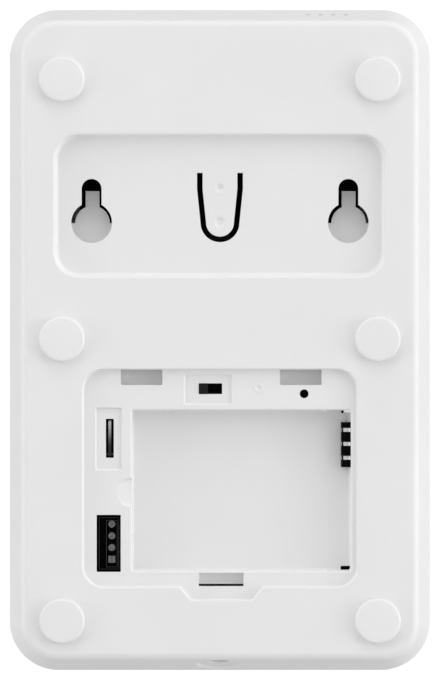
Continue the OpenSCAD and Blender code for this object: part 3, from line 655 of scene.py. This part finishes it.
def sprue_mark(cover):
    """A witness ring left by the mould's gate, with a dimple in it."""
    x, z = GATE_MARK
    ring = [(1.15, -0.2), (1.15, 0.05), (1.0, 0.11), (0.75, 0.11), (0.6, 0.08)]
    dimple = [(0.72, 0.3), (0.62, 0.05), (0.45, -0.06), (0.2, -0.12)]
    add(cover, [at_depth(circle(x, z, r, 32), SEAT_Y + rise) for r, rise in ring])
    cut(cover, [at_depth(circle(x, z, r, 32), SEAT_Y + rise) for r, rise in dimple])


def inlet_cut(cover):
    """A shallow dish square to the sloping bottom wall, and the plug's hole through its middle."""
    lean = math.atan(WALL_SLOPE)
    along = Vector((0, math.cos(lean), math.sin(lean)))
    inward = Vector((0, -math.sin(lean), math.cos(lean)))
    centre = Vector((0, JACK_Y, JACK_Z))

    def disc(r, depth):
        return [centre + Vector((x, 0, 0)) + along * t + inward * depth for x, t in circle(0, 0, r, 48)]

    dish = [(0.4, -1), (0.35, -0.02), (0.1, 0.06), (-0.1, 0.25), (-0.3, 0.55), (-0.7, 0.7)]
    cut(cover, [disc(INLET_DISH_R + wider, depth) for wider, depth in dish])
    rim = [(0.35, 0.65), (0.3, 0.72), (0.08, 0.85), (0, 1.05)]
    bore_end = [(x, JACK_Y + t, JACK_Z + 4) for x, t in circle(0, 0, INLET_HOLE_R, 48)]
    cut(cover, [disc(INLET_HOLE_R + wider, depth) for wider, depth in rim] + [bore_end])


def grille_cut(cover):
    """Sounder slots through the top wall."""
    low, high = GRILLE_Y
    for x in GRILLE_XS:
        slot = rect(x - 0.5, x + 0.5, low, high, 0.2, 3)
        cut(cover, [[(px, py, z) for px, py in slot] for z in (HALF_H + 1, HALF_H - 5)])


def keyhole_cuts(cover):
    for side in (-1, 1):
        x = side * KEYHOLE_X
        cut(cover, pocket(keyhole(x, KEYHOLE_Z), RECESS_Y, RECESS_UNDER_Y - 0.05, 0.12))
        entry = circle(x, KEYHOLE_Z, KEYHOLE_R - 0.02)
        cut(cover, pocket(entry, RECESS_UNDER_Y, KEYHOLE_FLOOR_Y, floor_r=0.25, head=0.5))


def finger_scoop(cover):
    """A round-ended ramp with a softened rim that falls towards the bay."""
    x, z = SCOOP

    def ramp(r, lift):
        return [(px, SEAT_Y + lift - SCOOP_FALL * (x + SCOOP_R - px), pz) for px, pz in circle(x, z, r)]

    cut(cover, [at_depth(circle(x, z, SCOOP_R + 0.2), SEAT_Y + 0.6),
                at_depth(circle(x, z, SCOOP_R + 0.2), SEAT_Y + 0.003), ramp(SCOOP_R - 0.3, 0.02),
                ramp(SCOOP_R - 0.7, -0.03)])


def bay_ribs():
    """Loops of the small ribs that grip the battery."""
    places = [(BAY[1] + 0.1, z) for z in SIDE_RIB_ZS]
    places += [(x, z) for x in END_RIB_XS for z in (BAY[2] - 0.1, BAY[3] + 0.1)]
    rings = [(RIB_R, BAY_Y - 0.05), (RIB_R, SEAT_Y - 0.6)]
    rings += [(RIB_R * 0.8, SEAT_Y - 0.4), (RIB_R * 0.4, SEAT_Y - 0.3)]
    ribs = []
    for x, z in places:
        ribs.append([at_depth(circle(x, z, r, 20), y) for r, y in rings])
    ribs.append(prism(rect(*CORNER_RIB, 0.1, 2), BAY_Y - 0.05, SEAT_Y - 0.3))
    return ribs


def latch_cuts(cover):
    """The door latch's pocket, whose floor falls towards its lower edge, and the slit along that edge."""
    x0, x1, z0, z1 = LATCH
    latch = rect(*LATCH, 0.2, 3)
    fall = (LATCH_SHALLOW_Y - LATCH_Y) / (z1 - z0)
    walls = pocket(latch, SEAT_Y, SEAT_Y - 1, 0.12)[:-1]
    floor_loops = []
    for lift in (LATCH_EDGE, 0.05, 0):
        outline = grow(latch, lift - LATCH_EDGE)
        floor_loops.append([(x, LATCH_Y + fall * (z - z0) + lift, z) for x, z in outline])
    cut(cover, walls + floor_loops)
    slit = rect(x0 + 0.05, x1 - 0.05, z0, z0 + LATCH_SLIT)
    cut(cover, prism(slit, LATCH_Y - 2, LATCH_Y + 1))


def screw_cuts(cover):
    """Stud and screw holes under the feet, and pilot holes in the board's posts."""
    for x, z in FEET:
        cut(cover, prism(circle(x, z, STUD_R + 0.05), STUD_END_Y - 0.1, BACK_Y + 1))
        cut(cover, prism(circle(x, z, SCREW_HEAD_R, 32), SCREW_SEAT_Y, BACK_Y - 1))
        cut(cover, prism(circle(x, z, SCREW_PASS_R, 32), BOSS_END_Y - 1, BACK_Y - 1))
    for x, z in BOARD_POSTS:
        cut(cover, prism(circle(x, z, BOARD_PILOT_R, 24), BOARD_Y - 1, BOARD_Y + 2.5))


def back_cover():
    cover = solids("cover", [cover_loops()])
    boolean(cover, cavity())
    recess = rect(-RECESS_HALF_W, RECESS_HALF_W, *RECESS_Z, RECESS_R, 12)
    cut(cover, pocket(recess, BACK_Y, RECESS_Y, 0.6, 0.9), pocket(seat_outline(), BACK_Y, SEAT_Y, 0.35, 0.3))
    cut(cover, pocket(rect(*BAY, 0.6, 4), SEAT_Y, BAY_Y, 0.4, 0.35, 0.6, 0.15))
    add(cover, *bay_ribs())
    shallow_y = SEAT_Y - SHALLOW
    recesses = (SLIDE_RECESS, TAMPER_RECESS)
    slots = (SLIDE_SLOT, TAMPER_SLOT)
    cut(cover, *[pocket(rect(*b, 0.3, 3), SEAT_Y, shallow_y, 0.25, 0.15) for b in recesses])
    through = [pocket(rect(*b, 0.12, 3), shallow_y, SEAT_UNDER_Y - 1, 0.08) for b in slots]
    through.append(pocket(rect(*HEADER_WINDOW, 0.15, 3), SEAT_Y, SEAT_UNDER_Y - 1, 0.12))
    through.append(pocket(circle(*RESET, RESET_R, 32), SEAT_Y, BOARD_Y, 0.1))
    cut(cover, *through)
    finger_scoop(cover)
    latch_cuts(cover)
    for x0, x1 in HOOKS:
        cut(cover, pocket(rect(x0, x1, HOOK_Z0, SEAT[3] - 0.1, 0.3, 3), SEAT_Y, HOOK_Y, 0.1, 0.15))
        cut(cover, prism(rect(x0, x1, HOOK_Z0 + 0.2, SEAT[3] + HOOK_UNDERCUT), HOOK_Y, SEAT_UNDER_Y))
    cut(cover, prism(rect(*CONNECTOR_WINDOW), BAY_UNDER_Y - 1, SEAT_UNDER_Y))
    cut(cover, *[prism(rect(*b, 0.25, 3), BAY_UNDER_Y - 1, BAY_Y + 0.5) for b in CORE_HOLES])
    keyhole_cuts(cover)
    cut(cover, pocket(tab_outline(TAB_SLOT, TAB_ROOT_Z), RECESS_Y, RECESS_UNDER_Y - 1, 0.1))
    screw_cuts(cover)
    inlet_cut(cover)
    grille_cut(cover)
    sprue_mark(cover)
    return piece(shade(cover), "back_cover_shell", "housing", WHITE_ABS, "white_plastic", "back_cover")


def tamper_tab():
    """The springy tab: it meets the cover at its root and carries two ejector dimples."""
    outline = tab_outline(0, TAB_ROOT_Z + TAB_EDGE)
    loops = [at_depth(outline, RECESS_UNDER_Y)]
    for c, s in quarter(3):
        loops.append(at_depth(grow(outline, TAB_EDGE * (c - 1)), RECESS_Y - TAB_EDGE * (1 - s)))
    tab = solids("tab", [loops])
    for z, r in TAB_DIMPLES:
        dimple = [(r + 0.05, 0.3), (r, 0.02), (r * 0.92, -0.03),
                  (r * 0.62, -0.16), (r * 0.55, -0.3), (r * 0.3, -0.36)]
        cut(tab, [at_depth(circle(0, z, ring, 32), RECESS_Y + y) for ring, y in dimple])
    return piece(shade(tab), "tamper_tab_strip", "tamper_tab", WHITE_ABS, "white_plastic", "wall_tamper_tab")


# ---- Feet ----

def feet():
    """Rubber buttons with a rolled edge and a faint crown."""
    top = 0
    roll = 0.55
    crown = 0.06
    rings = [(STUD_R, STUD_END_Y), (STUD_R, BACK_Y - 0.02)]
    rings += [(FOOT_R - 0.03, BACK_Y + 0.01), (FOOT_R, BACK_Y + 0.1)]
    for c, s in quarter(6):
        rings.append((FOOT_R - roll * (1 - c), top - crown - roll * (1 - s)))
    for share in (0.75, 0.45, 0.15):
        rings.append(((FOOT_R - roll) * share, top - crown * share * share))
    pads = solids("pads", [[at_depth(circle(x, z, r, 72), y) for r, y in rings] for x, z in FEET])
    return piece(shade(pads), "rubber_foot_pads", "housing", WHITE_RUBBER, "white_rubber", "rubber_feet")


# ---- Front cover and keys ----

def key_box(name):
    """Outline box of a key's cap, from its CAD flange."""
    low, high = span(name)
    return low.x + KEY_FLANGE, high.x - KEY_FLANGE, low.z + KEY_FLANGE, high.z - KEY_FLANGE


def key_opening(name):
    """Loops of the cutter for a key's opening, with an eased edge at the front."""
    x0, x1, z0, z1 = key_box(name)
    ease = 0.3
    hole = rect(x0 - KEY_GAP, x1 + KEY_GAP, z0 - KEY_GAP, z1 + KEY_GAP, KEY_R + KEY_GAP, 6)
    loops = [at_depth(grow(hole, ease), FRONT_Y - 1)]
    for c, s in reversed(quarter(4)):
        loops.append(at_depth(grow(hole, ease * (1 - c)), FRONT_Y - 0.003 + ease * (1 - s)))
    loops.append(at_depth(hole, FRONT_INNER_Y + 1))
    return loops


def front_cover():
    rim_y = PARTING_Y - PARTING_GAP
    loops = [at_depth(body_outline(0), rim_y)]
    for c, s in quarter(7):
        inset = FRONT_EDGE_R * (1 - c)
        loops.append(at_depth(body_outline(inset), FRONT_Y + FRONT_EDGE_R * (1 - s)))
    cover = solids("front", [loops])
    cut(cover, prism(body_outline(SIDE_WALL), FRONT_INNER_Y, rim_y + 1))
    root_y = FRONT_INNER_Y - 0.05
    section = [(-0.05, root_y), (-0.05, rim_y - 0.02), (0.5, rim_y), (0.5, PARTING_Y + 1.3),
               (0.7, PARTING_Y + 1.5), (1.5, PARTING_Y + 1.5), (1.5, root_y)]
    lip = solids("lip", [[at_depth(body_outline(SIDE_WALL + inset), y) for inset, y in section]], ring=True)
    boolean(cover, lip, "UNION")
    add(cover, *[prism(circle(x, z, PILLAR_R, 40), FRONT_INNER_Y - 0.05, BOSS_END_Y - 0.05) for x, z in FEET],
        *[prism(circle(x, z, POST_R, 32), FRONT_INNER_Y - 0.05, KEYPAD_FRONT_Y) for x, z in KEYPAD_POSTS])
    for name in key_names:
        cut(cover, key_opening(name))
    wx0, wx1, wz0, wz1 = window_low.x, window_high.x, window_low.z, window_high.z
    gap = 0.1
    cut(cover, prism(rect(wx0 - gap, wx1 + gap, wz0 - gap, wz1 + gap, 2.1, 6), FRONT_Y - 1, window_high.y))
    ledge = 1.5
    light_way = rect(wx0 + ledge, wx1 - ledge, wz0 + ledge, wz1 - ledge, 1, 4)
    cut(cover, prism(light_way, FRONT_Y, FRONT_INNER_Y + 1))
    for x, z in FEET:
        cut(cover, prism(circle(x, z, CASE_PILOT_R, 24), FRONT_INNER_Y, BOSS_END_Y + 1))
    for x, z in KEYPAD_POSTS:
        cut(cover, prism(circle(x, z, KEYPAD_PILOT_R, 24), KEYPAD_FRONT_Y - 2.2, KEYPAD_FRONT_Y + 1))
    return piece(shade(cover), "front_cover_shell", "housing", WHITE_ABS, "white_plastic", "front_cover")


def dish_depth(x, z, half_w, half_h):
    """How far the dished top of a key lies below its edge."""
    return KEY_DISH * max(0.0, 1 - (x / half_w) ** 2) * max(0.0, 1 - (z / half_h) ** 2)


def key(name):
    """A cap with a rolled edge and a shallow dish, its stop flange and its stem."""
    x0, x1, z0, z1 = key_box(name)
    low, high = span(name)
    cx, cz = (x0 + x1) / 2, (z0 + z1) / 2
    half_w, half_h = (x1 - x0) / 2, (z1 - z0) / 2
    top = low.y
    roll = KEY_ROLL
    cap = rect(x0, x1, z0, z1, KEY_R, 6)
    flange = rect(x0 - KEY_FLANGE, x1 + KEY_FLANGE, z0 - KEY_FLANGE, z1 + KEY_FLANGE, KEY_R + KEY_FLANGE, 6)
    flange_y = FRONT_INNER_Y + 0.05
    loops = [at_depth([(cx + (x - cx) * 0.1, cz + (z - cz) * 0.1) for x, z in flange], flange_y + 0.6),
             at_depth(flange, flange_y + 0.6), at_depth(flange, flange_y), at_depth(cap, flange_y)]
    for c, s in quarter(5):
        loops.append(at_depth(grow(cap, -roll * (1 - c)), top + roll * (1 - s)))
    edge = grow(cap, -roll)
    for share in (0.94, 0.85, 0.7, 0.5, 0.3, 0.1):
        ring = [(cx + (x - cx) * share, cz + (z - cz) * share) for x, z in edge]
        depths = [dish_depth(x - cx, z - cz, half_w - roll, half_h - roll) for x, z in ring]
        loops.append([(x, top + depth, z) for (x, z), depth in zip(ring, depths)])
    cap_piece = solids("cap", [loops])
    add(cap_piece, prism(circle(cx, cz, KEY_STEM_R, 32), flange_y + 0.5, high.y))
    return piece(shade(cap_piece), name + "_cap", name, KEY_PLASTIC, "key_plastic", name)


# ---- Legends on the keys and lines on the board ----

def bend(cx, cz, rx, rz, start_deg, end_deg, steps=14):
    """Points along part of an ellipse."""
    return [(cx + (x - cx) * rx, cz + (z - cz) * rz) for x, z in arc(cx, cz, 1, start_deg, end_deg, steps)]


def nine():
    return [bend(0, 0.42, 0.56, 0.56, 0, 360), [(0.56, 0.42)] + bend(-0.34, 0.42, 0.9, 1.4, -6, -78, 8)]


SHACKLE = bend(0, 0.42, 0.4, 0.4, 180, 0, 12)
LOCK_BODY = [(-0.65, -0.95), (0.65, -0.95), (0.65, 0.02), (-0.65, 0.02), (-0.65, -0.95)]
LOCK_SLOT = [(0, -0.35), (0, -0.6)]
# Strokes of each key's mark, in a box from -1 to 1 in height
MARKS = {
    "key_0": [bend(0, 0, 0.58, 0.98, 90, 450, 24)],
    "key_1": [[(-0.32, 0.62), (0.1, 0.98), (0.1, -1)]],
    "key_2": [bend(0, 0.42, 0.55, 0.56, 165, -38) + [(-0.56, -0.96), (0.6, -0.96)]],
    "key_3": [bend(-0.02, 0.46, 0.5, 0.5, 150, -90) + bend(-0.02, -0.5, 0.57, 0.52, 80, -150)],
    "key_4": [[(0.3, -1), (0.3, 0.98), (-0.62, -0.42), (0.66, -0.42)]],
    "key_5": [[(0.5, 0.96), (-0.42, 0.96), (-0.48, 0.08)] + bend(-0.02, -0.36, 0.58, 0.62, 130, -145)],
    "key_6": [[(-x, -z) for x, z in stroke] for stroke in nine()],
    "key_7": [[(-0.56, 0.96), (0.58, 0.96), (-0.14, -1)]],
    "key_8": [bend(0, 0.48, 0.46, 0.47, 0, 360), bend(0, -0.47, 0.56, 0.5, 0, 360)],
    "key_9": nine(),
    "key_star": [bend(0, 0.1, 0.62, 0.62, a, a + 180, 1) for a in (30, 90, 150)],
    "key_hash": [[(x - 0.1, -0.75), (x + 0.1, 0.75)] for x in (-0.27, 0.27)]
    + [[(-0.62, z), (0.62, z)] for z in (-0.27, 0.27)],
    "key_arm": [LOCK_BODY, LOCK_SLOT, [(-0.4, 0.02)] + SHACKLE + [(0.4, 0.02)]],
    "key_disarm": [LOCK_BODY, LOCK_SLOT, [(-0.4, 0.02), (-0.4, 0.5)] + [(x, z + 0.14) for x, z in SHACKLE]],
    "key_home": [[(-0.9, 0.05), (0, 0.85), (0.9, 0.05)],
                 [(-0.64, 0.2), (-0.64, -0.85), (0.64, -0.85), (0.64, 0.2)],
                 [(-0.18, -0.82), (-0.18, -0.25), (0.18, -0.25), (0.18, -0.82)]],
    "key_alarm": [[(-0.8, -0.62), (-0.52, -0.3), (-0.52, 0.15)] + bend(0, 0.15, 0.52, 0.55, 180, 0)
                  + [(0.52, -0.3), (0.8, -0.62), (-0.8, -0.62)], bend(0, -0.72, 0.2, 0.2, 200, 340, 6),
                  [(0, 0.7), (0, 0.9)]],
}
MARK_HEIGHT = 5.4
ICON_HEIGHT = 4.6
STROKE_HALF = 0.33
LEGEND_LIFT = 0.04


def ribbon(points, half):
    """Left and right points along a stroke, closing in to a round tip at each end."""
    ends = []
    for here, other in ((points[0], points[1]), (points[-1], points[-2])):
        out = (Vector(here) - Vector(other)).normalized()
        ends.append([(Vector(here) + out * half * s, half * c) for c, s in quarter(4)])
    stations = [(p, h) for p, h in reversed(ends[0])] + [(Vector(p), half) for p in points[1:-1]] + ends[1]
    sides = []
    for i, (here, wide) in enumerate(stations):
        before = stations[max(i - 1, 0)][0]
        after = stations[min(i + 1, len(stations) - 1)][0]
        ahead = (after - before).normalized()
        off = Vector((-ahead.y, ahead.x)) * max(wide, 0.02)
        sides.append((here + off, here - off))
    return sides


def closely(points, step=0.4):
    """The stroke with extra points along its long straight parts."""
    dense = [points[0]]
    for a, b in zip(points, points[1:]):
        count = max(1, math.ceil(math.dist(a, b) / step))
        for k in range(1, count + 1):
            dense.append((a[0] + (b[0] - a[0]) * k / count, a[1] + (b[1] - a[1]) * k / count))
    return dense


def legend(name):
    """Marks printed on a key, following its dish."""
    x0, x1, z0, z1 = key_box(name)
    top = span(name)[0].y
    cx, cz = (x0 + x1) / 2, (z0 + z1) / 2
    half_w, half_h = (x1 - x0) / 2 - KEY_ROLL, (z1 - z0) / 2 - KEY_ROLL
    size = (MARK_HEIGHT if x1 - x0 > DIGIT_KEY_W else ICON_HEIGHT) / 2

    def on_key(p, below):
        return (cx + p.x, top + dish_depth(p.x, p.y, half_w, half_h) - LEGEND_LIFT + below, cz + p.y)

    sets = []
    for stroke in MARKS[name]:
        path = closely([(x * size, z * size) for x, z in stroke])
        sides = ribbon(path, STROKE_HALF)
        sets.append([[on_key(a, 0), on_key(b, 0), on_key(b, 0.12), on_key(a, 0.12)] for a, b in sides])
    mark = solids("legend", sets)
    return piece(shade(mark), name + "_legend", name, LEGEND_INK, None)


def silkscreen():
    """Printed frames around the header pads."""
    frames = [(22.15, 24.6, -49.15, -38.95), (21.8, 26.15, -49.6, -38.35)]
    line = 0.13
    sets = []
    for frame_box in frames:
        outer = rect(*frame_box)
        inner = grow(outer, -line)
        top = BOARD_Y + 0.03
        sets.append([at_depth(outer, BOARD_Y - 0.02), at_depth(outer, top), at_depth(inner, top),
                     at_depth(inner, BOARD_Y - 0.02)])
    print_lines = solids("silk", sets, ring=True)
    return piece(shade(print_lines), "board_silkscreen", "housing", SILK_INK, None)


# ---- Build ----

# Carried-over CAD nodes whose edges are eased, with the width in millimetres
EASED = {
    "slide_switch_knob": 0.08, "slide_switch_body": 0.1, "battery_connector": 0.08, "battery_contacts": 0.06,
    "main_board": 0.05, "keypad_board": 0.05, "radio_shield": 0.25, "main_chip": 0.08, "board_header": 0.08,
    "status_window": 0.25, "reset_switch_body": 0.08, "dc_jack": 0.1, "door_tamper_base": 0.06,
    "door_tamper_lever": 0.1, "header_pads": 0.08, "wall_tamper_switch": 0.1, "wall_tamper_plunger": 0.15,
    "reset_plunger": 0.12, "status_leds": 0.1, "buzzer": 0.2,
}

# Carried-over CAD nodes that don't take their slot's usual material
NODE_MATERIALS = {"door_tamper_pin": SPRING_STEEL, "slide_switch_knob": KNOB_BLACK}

for node, obj in frame["nodes"].items():
    entry = next(s for s in frame["record"]["subparts"] if s["node"] == node)
    obj.data.materials.clear()
    obj.data.materials.append(NODE_MATERIALS.get(node, SLOT_MATERIALS[entry["material_slot"]]))
    if node in EASED:
        ease = obj.modifiers.new("ease", "BEVEL")
        ease.width = EASED[node] * MM
        ease.segments = 3
        ease.limit_method = "ANGLE"
        ease.angle_limit = math.radians(35)
        ease.harden_normals = True

back_cover()
tamper_tab()
feet()
front_cover()
silkscreen()
for key_name in key_names:
    key(key_name)
    legend(key_name)


# ---- Floor, light and camera ----

# Metres from here on. The floor fills the picture from 225,15 and stays out of the level views
FLOOR_R = 2.87
FLOOR_DROP = 0.38
AMBIENT = 0.583
BACKDROP = 1.05
# The distance is assumed; the lens makes the panel as tall in the picture as in the photograph
CAMERA_DISTANCE = 1.385
CAMERA_SIDE = 0.004
SENSOR_HEIGHT_MM = 36
LENS_MM = 341


def floor():
    bm = bmesh.new()
    centre = bm.verts.new((0, 0, 0))
    edge = circle(0, 0, FLOOR_R, 96)
    rim = [bm.verts.new((x, y, 0)) for x, y in edge]
    for i in range(len(rim)):
        bm.faces.new((centre, rim[i], rim[(i + 1) % len(rim)]))
    mesh = bpy.data.meshes.new("floor")
    bm.to_mesh(mesh)
    bm.free()
    obj = bpy.data.objects.new("floor", mesh)
    bpy.context.scene.collection.objects.link(obj)
    obj.location.z = cad_bounds[0][2] - FLOOR_DROP
    paint = moulded("floor_paint", (0.66, 0.66, 0.66), (0.68, 0.68, 0.68), (0.7, 0.8), 60, 0.0002)
    mesh.materials.append(paint)


def area_light(name, location, size, power, spread_deg=180.0):
    """A round soft light that faces the panel."""
    data = bpy.data.lights.new(name, "AREA")
    data.spread = math.radians(spread_deg)
    data.shape = "DISK"
    data.size = size
    data.energy = power
    obj = bpy.data.objects.new(name, data)
    obj.location = location
    towards_panel = Vector((0, 0, 0)) - Vector(location)
    obj.rotation_euler = towards_panel.to_track_quat("-Z", "Y").to_euler()
    bpy.context.scene.collection.objects.link(obj)


def world():
    """White where the camera looks past the object, and a weaker even light on it."""
    scene_world = bpy.data.worlds.new("studio")
    bpy.context.scene.world = scene_world
    scene_world.use_nodes = True
    tree = scene_world.node_tree
    light = tree.nodes["Background"]
    light.inputs["Color"].default_value = (1, 1, 1, 1)
    light.inputs["Strength"].default_value = AMBIENT
    seen = tree.nodes.new("ShaderNodeBackground")
    seen.inputs["Color"].default_value = (1, 1, 1, 1)
    seen.inputs["Strength"].default_value = BACKDROP
    path = tree.nodes.new("ShaderNodeLightPath")
    mix = tree.nodes.new("ShaderNodeMixShader")
    tree.links.new(path.outputs["Is Camera Ray"], mix.inputs["Fac"])
    tree.links.new(light.outputs["Background"], mix.inputs[1])
    tree.links.new(seen.outputs["Background"], mix.inputs[2])
    tree.links.new(mix.outputs["Shader"], tree.nodes["World Output"].inputs["Surface"])


def camera():
    data = bpy.data.cameras.new("camera")
    data.sensor_fit = "VERTICAL"
    data.sensor_height = SENSOR_HEIGHT_MM
    data.lens = LENS_MM
    data.clip_end = 20
    obj = bpy.data.objects.new("camera", data)
    obj.location = (CAMERA_SIDE, CAMERA_DISTANCE, 0)
    aim = Vector((0.0, BACK_Y * MM, 0.0))
    obj.rotation_euler = (aim - obj.location).to_track_quat("-Z", "Y").to_euler()
    bpy.context.scene.collection.objects.link(obj)
    bpy.context.scene.camera = obj


bpy.context.scene.view_settings.view_transform = "Standard"
floor()
world()
# Place in metres, size in metres and power in watts; right and left are as the photograph shows them
area_light("right_side", (-1.5, 0.35, 0), 0.8, 7.4)
area_light("right_front", (-1.3, 0.9, 0.1), 0.9, 2.9)
area_light("right_high", (-0.9, 0.9, 0.9), 0.9, 1.9)
area_light("overhead", (0, 0.55, 1.45), 0.9, 5.4)
area_light("left_side", (1.5, 0.35, 0), 0.8, 5.9)
area_light("left_high", (1.0, 1.0, 0.8), 0.9, 2.8)
# Lights the keys from straight in front; a status window seen from there mirrors it
area_light("key_side", (0, -1.5, 0), 0.5, 0.25, 20)
camera()

bpy.context.view_layer.update()
